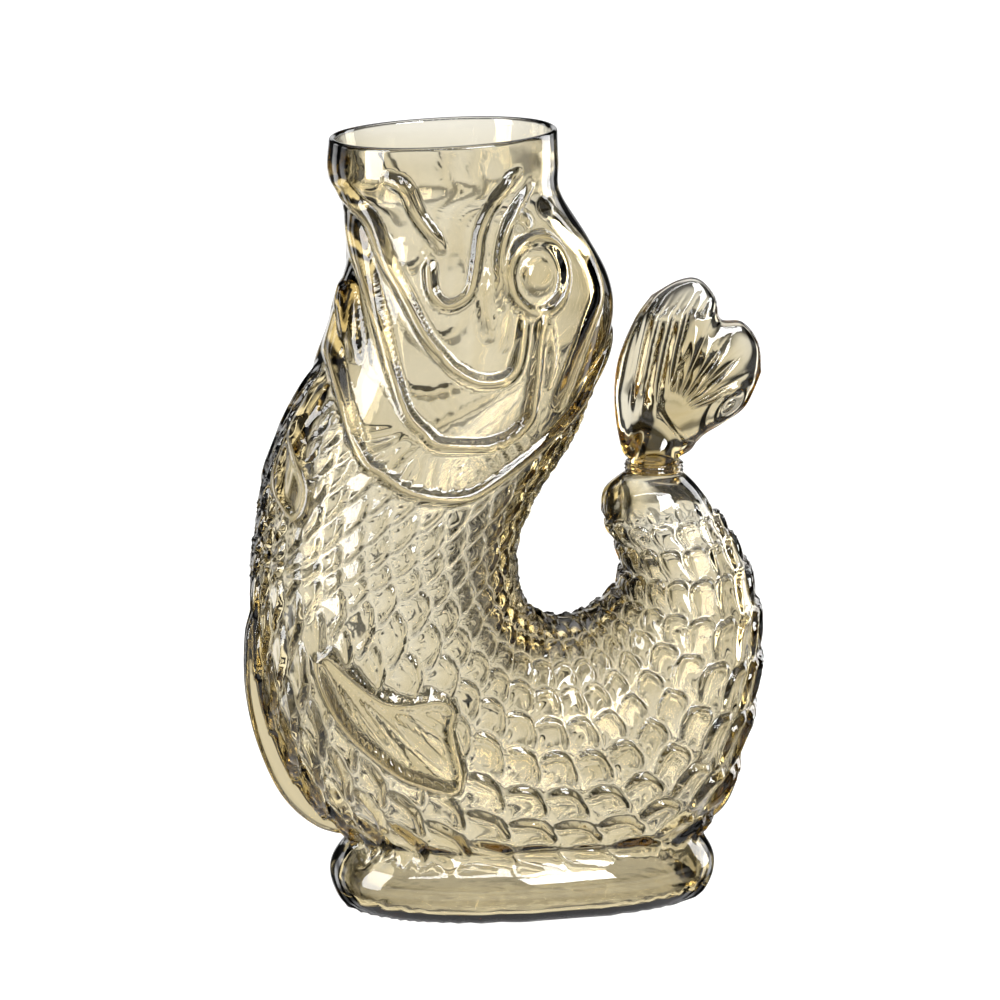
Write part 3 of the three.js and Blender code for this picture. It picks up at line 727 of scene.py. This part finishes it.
# Tail fin: a solid fan of glass on a round neck. Its front lobe folds over the upper one, and
# finger-like ribs run up both from the root. Lines are x and z from the middle of the tail's end.
finShape = {
    # rails from the neck to the edge: back edge, upper lobe, notch, front lobe, front edge
    "rails": [
        [(-10.6, 8.0), (-12.9, 22.0), (-11.8, 36.0), (-6.3, 49.2), (-0.4, 57.1)],
        [(-8.0, 10.0), (-7.8, 25.0), (-4.8, 39.5), (0.8, 52.0), (8.1, 61.7)],
        [(-4.0, 11.0), (-0.8, 26.0), (4.4, 40.0), (9.8, 51.8), (14.5, 62.1)],
        [(-0.5, 11.0), (4.5, 24.5), (10.5, 37.5), (15.8, 48.2), (19.8, 56.5)],
        [(3.0, 11.0), (8.5, 21.5), (13.5, 32.0), (17.7, 41.0), (21.5, 49.3)],
        [(6.5, 10.5), (13.0, 19.5), (19.8, 29.5), (25.0, 39.0), (28.5, 48.1)],
        [(10.4, 9.2), (15.8, 15.2), (23.2, 22.8), (29.5, 32.0), (33.6, 41.5)],
        [(12.0, 6.8), (15.2, 11.3), (22.5, 15.6), (29.5, 20.8), (34.6, 32.0)],
    ],
    "thickness": 8.4,
    "thinning": 0.2,  # share of that lost towards the edge
    "rimPower": 3.2,  # roundness of the two long edges
    "edgePower": 6,  # and of the far one
    "neckEnd": 0.5,  # share of a rail by which the round neck has gone over into the plate
    "reliefStart": (0.08, 0.3),  # shares of it over which the relief comes in
    "twist": 3.0,
    "twistPower": 1.5,
    "fingerHeight": 2.2,
    "fingerPower": 0.6,  # below 1, so that the valleys between fingers are sharp
    "fingerPitch": 4.2,  # of the upper lobe's fingers, which run up beside the band
    "fingerSpan": (17.0, 27.0, 44.0, 60.0),  # heights where they come in and fade out
    "fanRoot": (4.0, 19.5),  # the front lobe's fingers fan out from here
    "fanPitch": 13.0,  # degrees
    "fanStart": (12.0, 24.0),  # degrees above the level where they come in
    "fanSpan": (5.0, 12.0, 18.0, 34.0),  # distances from their root where they come in and fade out
    "band": [(-9.0, 8.0), (-8.6, 21.3), (-7.8, 28.9), (-5.1, 41.7), (-2.5, 51.3), (2.4, 58.6)],
    "bandHeight": 1.1,  # the back edge is a smooth thick band up to this line
    "bandEdge": (0.5, -1.5),  # distances beyond the line where the band comes in
    "besideBand": (0.0, 2.0),  # and where the fingers do
    "fold": [(24.0, 54.0), (16.1, 50.1), (13.4, 50.7), (11.2, 48.6), (9.1, 39.0), (3.2, 26.8),
             (1.6, 20.9), (8.2, 10.9)],
    "beyondFold": [(50.0, 5.0), (50.0, 54.0)],  # closes the fold round the front lobe
    "foldSteps": 40,
    "foldHeight": 1.6,  # the front lobe stands this far over the upper one
    "foldHalfWidth": 0.7,
    "bulge": ((8.5, 18.5), 8.0, 1.8),  # place, radius and height of the front lobe's root
    "valley": [(-6.5, 24.0), (-4.5, 16.0), (0.5, 9.5), (7.0, 5.5)],  # from the band to the front lobe
    "valleySize": (2.8, 5.0),  # depth and half width
    "curl": ((23.5, 21.5), 6.5, 1.0, 4.6),  # place, radius, height and pitch of the corner's rings
    "curlLength": 2.1,  # they are drawn out upwards and forwards
    "farRelief": 0.35,  # the far face is fainter
    "rows": 150,
    "rowCrowding": 1.5,  # towards the edge
    "columns": 300,
}


def finRelief(x, z):
    # fingers with sharp valleys between them, the band along the back edge, the fold of the front
    # lobe with its round root, and the valley beside that
    shape = finShape

    def fingers(place, pitch):
        return np.abs(np.sin(math.pi * place / pitch)) ** shape["fingerPower"]

    pastBand = x - np.interp(z, *np.array(shape["band"]).T[::-1])
    upper = fingers(pastBand, shape["fingerPitch"]) * smoothStep(*shape["besideBand"], pastBand)
    upper = upper * fadeInAndOut(z, *shape["fingerSpan"])
    fanX, fanZ = x - shape["fanRoot"][0], z - shape["fanRoot"][1]
    fan = np.degrees(np.arctan2(fanZ, fanX))
    lower = fingers(fan, shape["fanPitch"]) * smoothStep(*shape["fanStart"], fan)
    lower = lower * fadeInAndOut(np.hypot(fanX, fanZ), *shape["fanSpan"])
    distance = lineDistance(x, z, shape["fold"])[0]
    front = insideOutline(x, z, [*smoothLine(shape["fold"], shape["foldSteps"]), *shape["beyondFold"]])
    step = shape["foldHalfWidth"]
    front = smoothStep(-step, step, np.where(front, distance, -distance))
    (bulgeX, bulgeZ), reach, rise = shape["bulge"]
    bulge = rise * np.exp(-(np.hypot(x - bulgeX, z - bulgeZ) / reach) ** 2)
    depth, wide = shape["valleySize"]
    valley = depth * np.exp(-(lineDistance(x, z, shape["valley"])[0] / wide) ** 2) * (1.0 - front)
    (curlX, curlZ), reach, rise, pitch = shape["curl"]
    away = np.hypot((x - curlX + z - curlZ) / shape["curlLength"], z - curlZ - x + curlX)
    curl = rise * np.cos(2.0 * math.pi * away / pitch) * np.exp(-(away / reach) ** 2)
    height = shape["fingerHeight"] * (upper * (1.0 - front) + lower * front)
    band = shape["bandHeight"] * smoothStep(*shape["bandEdge"], pastBand)
    return height + band + curl + (shape["foldHeight"] + bulge) * front - valley


def makeFin():
    # rails fan out from the neck; the thickness between the two faces goes from round at the
    # neck to a ribbed plate with a rounded edge
    shape = finShape
    neckRadius = tail["radius"] - collarShape["width"] - tail["clearance"]
    neckHeight = 3.0 * tail["clearance"] + collarShape["height"]  # two clearances above the collar
    count = len(shape["rails"])
    angle = np.linspace(0.0, math.pi, count)
    start = np.stack([-neckRadius * np.cos(angle), np.full(count, neckHeight)], -1)[:, None]
    rails = np.concatenate([start, np.array(shape["rails"])], axis=1)
    share = 1.0 - (1.0 - np.linspace(0.0, 1.0, shape["rows"])) ** shape["rowCrowding"]
    alongRails = splineThrough(rails.transpose(1, 0, 2), share * (rails.shape[1] - 1))
    alongRails = alongRails.transpose(1, 0, 2)
    turn = np.linspace(0.0, 2.0 * math.pi, shape["columns"], endpoint=False)
    side = np.minimum(turn, 2.0 * math.pi - turn)
    across = side / math.pi
    middle = splineThrough(alongRails, across * (count - 1)).transpose(1, 0, 2)
    share, across, side = share[:, None], across[None, :], side[None, :]
    rim = np.sqrt(np.maximum(0.0, 1.0 - np.abs(2.0 * across - 1.0) ** shape["rimPower"]))
    edge = np.sqrt(np.maximum(0.0, 1.0 - share ** shape["edgePower"]))
    relief = finRelief(middle[..., 0], middle[..., 1]) * smoothStep(*shape["reliefStart"], share)
    near = np.where(turn <= math.pi, 1.0, -1.0)[None, :]
    relief = relief * np.where(near > 0.0, 1.0, shape["farRelief"])
    plate = (shape["thickness"] / 2.0 * (1.0 - shape["thinning"] * share) + relief) * rim
    neck = neckRadius * np.sin(side)
    half = neck + (plate - neck) * smoothStep(0.0, shape["neckEnd"], share)
    y = shape["twist"] * (1.0 - 2.0 * across) * share ** shape["twistPower"] - near * half * edge
    fan = np.stack([tail["x"] + middle[..., 0], y, tail["z"] + middle[..., 1]], -1)
    root = np.stack([tail["x"] - neckRadius * np.cos(turn), -neckRadius * np.sin(turn),
                     np.full_like(turn, tail["z"] + tail["clearance"])], -1)
    return addMesh("tailFin", np.concatenate([root[None], fan]), ends="zip")


tailFin = makeFin()
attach(tailFin, "root")
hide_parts("tail_fin")


# Materials
white = (1.0, 1.0, 1.0, 1.0)


def linearColour(hexCode):
    # sRGB hex to linear red, green and blue
    srgb = np.array([int(hexCode[i:i + 2], 16) for i in (1, 3, 5)]) / 255.0
    return tuple(np.where(srgb <= 0.04045, srgb / 12.92, ((srgb + 0.055) / 1.055) ** 2.4))


def addNode(tree, kind, settings=None, inputs=None, links=None):
    # one node with its settings, its input values and its links from other nodes' outputs
    node = tree.nodes.new(kind)
    for name, value in (settings or {}).items():
        setattr(node, name, value)
    for name, value in (inputs or {}).items():
        node.inputs[name].default_value = value
    for name, output in (links or {}).items():
        tree.links.new(output, node.inputs[name])
    return node


def emptyMaterial(name):
    material = bpy.data.materials.new(name)
    material.use_nodes = True
    material.node_tree.nodes.clear()
    return material, material.node_tree


# Soda-lime glass stained smoky amber, blown in a mould and fire-polished: clear, glossy, darker
# where the light runs a long way through it, with the slow ripple of a mould's skin.
glassLook = {
    "ior": 1.5,
    "roughness": 0.015,
    "absorbed": 160.0,  # per metre, of the colour that the glass swallows most
    "passed": "#CFB93F",  # share of each colour that it lets by, against that
    "collarAbsorbed": 700.0,  # the collar is thin and still looks deep
    "finAbsorbed": 112.0,  # the tail fin is made of paler glass
    "ripple": 9.0,  # mm from wave to wave
    "rippleHeight": 0.11,  # mm
    "rippleDetail": 2.0,
}


def makeGlass(name, look, absorbed):
    # a clear skin with the ripple, and colour that deepens along the way through it
    material, tree = emptyMaterial(name)
    place = addNode(tree, "ShaderNodeTexCoord")
    ripple = addNode(tree, "ShaderNodeTexNoise",
                     inputs={"Scale": 1.0 / (look["ripple"] * mm), "Detail": look["rippleDetail"]},
                     links={"Vector": place.outputs["Object"]})
    bump = addNode(tree, "ShaderNodeBump",
                   inputs={"Strength": 1.0, "Distance": look["rippleHeight"] * mm},
                   links={"Height": ripple.outputs["Fac"]})
    surface = addNode(tree, "ShaderNodeBsdfPrincipled",
                      inputs={"Base Color": white, "Roughness": look["roughness"], "IOR": look["ior"],
                              "Transmission Weight": 1.0},
                      links={"Normal": bump.outputs["Normal"]})
    inside = addNode(tree, "ShaderNodeVolumeAbsorption",
                     inputs={"Color": (*linearColour(look["passed"]), 1.0), "Density": absorbed})
    addNode(tree, "ShaderNodeOutputMaterial", links={
        "Surface": surface.outputs["BSDF"], "Volume": inside.outputs["Volume"]})
    return material


fishBody.data.materials.append(makeGlass("smokyAmberGlass", glassLook, glassLook["absorbed"]))
weldCollar.data.materials.append(makeGlass("deepAmberGlass", glassLook, glassLook["collarAbsorbed"]))
tailFin.data.materials.append(makeGlass("paleAmberGlass", glassLook, glassLook["finAbsorbed"]))
print("glass made")


# Studio, in metres: a light table, which is brighter than white in the picture, soft boxes at the
# sides, in front and above, and a room that only the glass sees: bright behind it, with dark and
# bright stripes to the sides for the lines that glass is drawn with.
studio = {
    "floorHalf": 60.0,
    "floorLevel": -0.0004,  # the foot stands on small high spots
    "floorColour": "#7E7D7B",
    "floorRoughness": 0.9,
    "floorSpecular": 0.1,
    "floorGlow": 1.05,
    "roomTurn": 12.0,  # degrees from +Y to the way that the camera looks
    "roomAround": [
        # degrees to either side of that, brightness
        (0.0, 0.98), (10.0, 0.98), (15.0, 0.85), (18.0, 0.03), (32.0, 0.03), (35.0, 1.8), (43.0, 1.8),
        (46.0, 0.02), (52.0, 0.02), (55.0, 1.6), (61.0, 1.6), (65.0, 0.03), (80.0, 0.03), (92.0, 0.8),
        (180.0, 0.9),
    ],
    "roomUpwards": [
        # sine of the elevation, brightness
        (-1.0, 0.9), (-0.64, 0.9), (-0.56, 0.12), (-0.4, 0.12), (-0.32, 1.0), (-0.2, 1.1), (-0.1, 1.0),
        (-0.03, 0.4), (0.03, 0.4), (0.08, 1.1), (0.17, 1.1), (0.23, 0.03), (0.4, 0.03), (0.5, 0.6),
        (1.0, 0.4),
    ],
    "roomBelow": [(-1.0, 1.1), (-0.74, 1.0), (-0.62, 0.0), (1.0, 0.0)],  # the table's own light
    "boxes": [
        # name, place, size in x and y, power
        ("leftBox", (-1.3, -0.2, 0.45), (0.6, 1.2), 27.0),
        ("rightBox", (0.5, -1.2, 0.95), (0.6, 0.5), 24.0),
        ("edgeBox", (1.25, 0.5, 0.45), (0.5, 1.2), 12.0),
        ("frontStrip", (-0.15, -1.0, 1.3), (2.0, 0.15), 14.0),
        ("topBox", (0.0, 0.2, 1.5), (2.0, 2.0), 19.0),
    ],
    "boxAim": (0.0, 0.0, 0.12),
    "bounces": 24,  # light goes through many skins of glass
    "clearBounces": 16,
}


def addStage(name, corners, faces, material):
    mesh = bpy.data.meshes.new(name)
    mesh.from_pydata(corners, [], faces)
    mesh.materials.append(material)
    thing = bpy.data.objects.new(name, mesh)
    bpy.context.collection.objects.link(thing)
    return thing


def makeAcrylic(name, setup):
    # cast white acrylic with a satin face, lit from inside: even, matt and pale
    material, tree = emptyMaterial(name)
    surface = addNode(tree, "ShaderNodeBsdfPrincipled", inputs={
        "Base Color": (*linearColour(setup["floorColour"]), 1.0), "Roughness": setup["floorRoughness"],
        "Specular IOR Level": setup["floorSpecular"], "Emission Color": white,
        "Emission Strength": setup["floorGlow"]})
    addNode(tree, "ShaderNodeOutputMaterial", links={"Surface": surface.outputs["BSDF"]})
    return material


def addBox(name, place, size, power, aim):
    # a soft box that faces the carafe
    data = bpy.data.lights.new(name, "AREA")
    data.energy, data.shape = power, "RECTANGLE"
    data.size, data.size_y = size
    light = bpy.data.objects.new(name, data)
    bpy.context.collection.objects.link(light)
    light.location = place
    light.rotation_euler = (Vector(aim) - Vector(place)).to_track_quat("-Z", "Y").to_euler()


def brightnessBy(tree, value, low, high, stops):
    # grey by stops between two ends of a value
    place = addNode(tree, "ShaderNodeMapRange", inputs={"From Min": low, "From Max": high},
                    links={"Value": value})
    ramp = addNode(tree, "ShaderNodeValToRGB", links={"Fac": place.outputs["Result"]})
    elements = ramp.color_ramp.elements
    while len(elements) < len(stops):
        elements.new(0.5)
    for element, (at, bright) in zip(elements, stops):
        element.position = (at - low) / (high - low)
        element.color = (bright, bright, bright, 1.0)
    return ramp.outputs["Color"]


def addRoom(setup):
    # brightness by the way that light comes from; the camera itself sees white
    world = bpy.data.worlds.new("studioWorld")
    bpy.context.scene.world = world
    world.use_nodes = True
    tree = world.node_tree
    tree.nodes.clear()
    way = addNode(tree, "ShaderNodeTexCoord")
    turned = addNode(tree, "ShaderNodeVectorRotate", {"rotation_type": "Z_AXIS"},
                     {"Angle": math.radians(setup["roomTurn"])}, {"Vector": way.outputs["Generated"]})
    parts = addNode(tree, "ShaderNodeSeparateXYZ", links={"Vector": turned.outputs["Vector"]})
    angle = addNode(tree, "ShaderNodeMath", {"operation": "ARCTAN2"},
                    links={0: parts.outputs["X"], 1: parts.outputs["Y"]})
    degrees = addNode(tree, "ShaderNodeMath", {"operation": "DEGREES"},
                      links={"Value": angle.outputs["Value"]})
    aside = addNode(tree, "ShaderNodeMath", {"operation": "ABSOLUTE"},
                    links={"Value": degrees.outputs["Value"]})
    around = brightnessBy(tree, aside.outputs["Value"], 0.0, 180.0, setup["roomAround"])
    upwards = brightnessBy(tree, parts.outputs["Z"], -1.0, 1.0, setup["roomUpwards"])
    below = brightnessBy(tree, parts.outputs["Z"], -1.0, 1.0, setup["roomBelow"])
    bright = addNode(tree, "ShaderNodeVectorMath", {"operation": "MULTIPLY"},
                     links={0: around, 1: upwards})
    lit = addNode(tree, "ShaderNodeVectorMath", {"operation": "MAXIMUM"},
                  links={0: bright.outputs["Vector"], 1: below})
    path = addNode(tree, "ShaderNodeLightPath")
    # inputs 6 and 7 of this node, and its output 2, are the ones for colours
    seen = addNode(tree, "ShaderNodeMix", {"data_type": "RGBA"}, {7: white},
                   {"Factor": path.outputs["Is Camera Ray"], 6: lit.outputs["Vector"]})
    sky = addNode(tree, "ShaderNodeBackground", links={"Color": seen.outputs[2]})
    addNode(tree, "ShaderNodeOutputWorld", links={"Surface": sky.outputs["Background"]})


def addStudio(setup):
    # the table as one square, the boxes and the room
    half, level = setup["floorHalf"], setup["floorLevel"]
    corners = [(-half, -half, level), (half, -half, level), (half, half, level), (-half, half, level)]
    table = addStage("lightTable", corners, [(0, 1, 2, 3)], makeAcrylic("whiteAcrylic", setup))
    table.visible_transmission = table.visible_glossy = False  # the glass sees the room instead
    for name, place, size, power in setup["boxes"]:
        addBox(name, place, size, power, setup["boxAim"])
    addRoom(setup)


addStudio(studio)
scene = bpy.context.scene
scene.view_settings.view_transform = "Standard"
scene.cycles.max_bounces = studio["bounces"]
scene.cycles.transmission_bounces = studio["bounces"]
scene.cycles.transparent_max_bounces = studio["clearBounces"]
print("studio lit")
